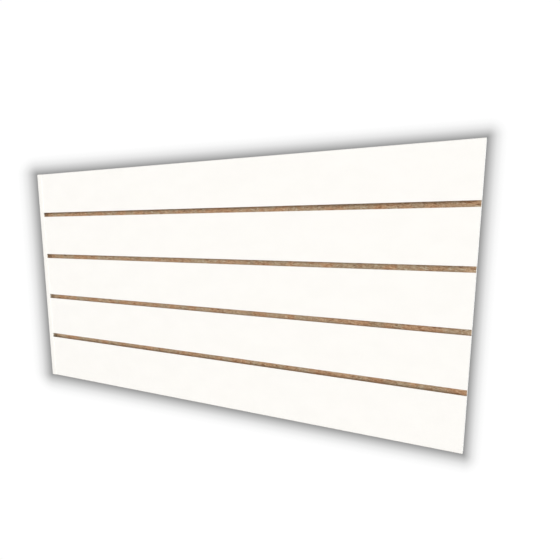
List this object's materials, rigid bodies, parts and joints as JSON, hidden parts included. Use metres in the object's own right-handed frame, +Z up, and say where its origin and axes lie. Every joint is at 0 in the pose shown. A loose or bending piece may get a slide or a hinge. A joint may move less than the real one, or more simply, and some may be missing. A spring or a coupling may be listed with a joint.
{
  "type": "slatwall panel",
  "caption": "Flat white-faced board with straight horizontal T-shaped grooves for display hooks, banded edges, and an L-shaped trim that closes the grooves at one end.",
  "frame": {"origin": "centre of the board's flat back face, which lies against the wall", "axes": "+X along the panel's length, from the trimmed end to the open end; +Y into the wall, so the white face looks along -Y; +Z up"},
  "size_m": [1.2192, 0.0203, 0.6096],
  "materials": {
    "particleboard": "raw routed particleboard, pale brown flakes",
    "white_laminate": "warm white laminate, satin",
    "kraft_backer": "brown kraft balancing sheet, matt",
    "edge_banding": "white melamine edge band, satin",
    "white_pvc": "extruded white plastic trim, satin",
    "adhesive_tape": "translucent white double-sided tape"
  },
  "bodies": {
    "root": {"core_board": "particleboard", "slat_face_1": "white_laminate", "slat_face_2": "white_laminate", "slat_face_3": "white_laminate", "slat_face_4": "white_laminate", "slat_face_5": "white_laminate", "back_sheet": "kraft_backer", "top_edge_band": "edge_banding", "bottom_edge_band": "edge_banding", "right_edge_band": "edge_banding", "left_end_trim": "white_pvc", "trim_tape_front": "adhesive_tape", "trim_tape_end": "adhesive_tape"}
  },
  "joints": []
}
